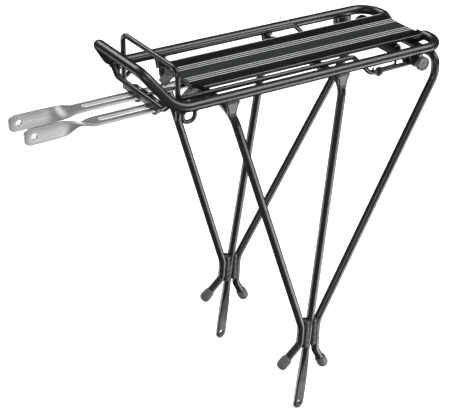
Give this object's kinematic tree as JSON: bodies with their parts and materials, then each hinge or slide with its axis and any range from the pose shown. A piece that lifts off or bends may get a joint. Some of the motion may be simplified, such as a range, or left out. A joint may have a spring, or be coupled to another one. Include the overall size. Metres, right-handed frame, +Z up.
{
  "type": "bicycle rear rack",
  "caption": "Welded tube rear rack for a bicycle: leg struts to dropout eyelets, ribbed accessory plate, sprung luggage bail and sliding front stays.",
  "frame": {"origin": "midway between the two dropout eyelet holes, on their common axis", "axes": "+X to the rear of the bicycle, +Z up, -Y is the bicycle's left side"},
  "size_m": [0.4555, 0.1668, 0.425],
  "materials": {
    "plate": "satin black anodised extrusion",
    "black_plastic": "matt black moulding",
    "grey_rubber": "dark grey ribbed rubber",
    "grey_plastic": "matt grey moulding",
    "stay_silver": "satin silver",
    "steel": "zinc plated",
    "black_steel": "oiled black spring steel",
    "black_wire": "gloss black paint",
    "weld": "gloss black paint over a rippled bead",
    "black_tube": "gloss black paint"
  },
  "bodies": {
    "rack": {"accessory_plate": "plate", "axle_cap_left": "grey_plastic", "axle_cap_right": "grey_plastic", "bracket_brace": "black_wire", "eyelet_left": "black_tube", "eyelet_right": "black_tube", "front_cross_tube": "black_tube", "front_foot_cap_left": "grey_plastic", "front_foot_cap_right": "grey_plastic", "front_gusset_left": "black_tube", "front_gusset_right": "black_tube", "front_hoop": "black_tube", "front_leg_left": "black_tube", "front_leg_right": "black_tube", "front_weld_left": "weld", "front_weld_right": "weld", "lower_hoop": "black_tube", "middle_cross_tube": "black_tube", "middle_gusset_left": "black_tube", "middle_gusset_right": "black_tube", "middle_leg_left": "black_tube", "middle_leg_right": "black_tube", "pivot_axle": "black_steel", "pivot_bracket_left": "black_tube", "pivot_bracket_right": "black_tube", "plate_front_lip": "black_plastic", "plate_stop_left": "black_plastic", "plate_stop_right": "black_plastic", "plate_support_left": "grey_rubber", "plate_support_right": "grey_rubber", "rail_left": "black_tube", "rail_right": "black_tube", "rear_cross_tube": "black_tube", "rear_foot_cap_left": "grey_plastic", "rear_foot_cap_right": "grey_plastic", "rear_leg_left": "black_tube", "rear_leg_right": "black_tube", "rear_loop": "black_tube", "rear_weld_left": "weld", "rear_weld_right": "weld", "stay_bracket": "black_tube", "tie_loop_left": "black_wire", "tie_loop_right": "black_wire", "torsion_spring_left": "black_steel", "torsion_spring_right": "black_steel"},
    "bail": {"bail_arm_left": "black_wire", "bail_arm_right": "black_wire", "bail_clip_left": "black_wire", "bail_clip_right": "black_wire", "bail_upright": "black_wire", "spring_lead_left": "black_steel", "spring_lead_right": "black_steel"},
    "clamp_left": {"clamp_bolt_left": "steel", "clamp_nut_left": "steel"},
    "clamp_right": {"clamp_bolt_right": "steel", "clamp_nut_right": "steel"},
    "stay_left": {"stay_left": "stay_silver"},
    "stay_right": {"stay_right": "stay_silver"}
  },
  "joints": [
    {"name": "bail_hinge", "type": "hinge", "parent": "rack", "child": "bail", "pos_m": [0.1374, 0, 0.3676], "axis": [0, 1, 0], "range_deg": [0, 75], "stiffness_Nm_per_rad": 0.9, "springref_deg": -45.84},
    {"name": "stay_left_swivel", "type": "hinge", "parent": "rack", "child": "clamp_left", "pos_m": [-0.1465, -0.0161, 0.3683], "axis": [0, 0, 1], "range_deg": [-3.5, 5]},
    {"name": "stay_left_slide", "type": "slide", "parent": "clamp_left", "child": "stay_left", "axis": [1, 0, 0], "range_m": [-0.04, 0.025]},
    {"name": "stay_right_swivel", "type": "hinge", "parent": "rack", "child": "clamp_right", "pos_m": [-0.1465, 0.0161, 0.3683], "axis": [0, 0, 1], "range_deg": [-5, 3.5]},
    {"name": "stay_right_slide", "type": "slide", "parent": "clamp_right", "child": "stay_right", "axis": [1, 0, 0], "range_m": [-0.04, 0.025]}
  ]
}
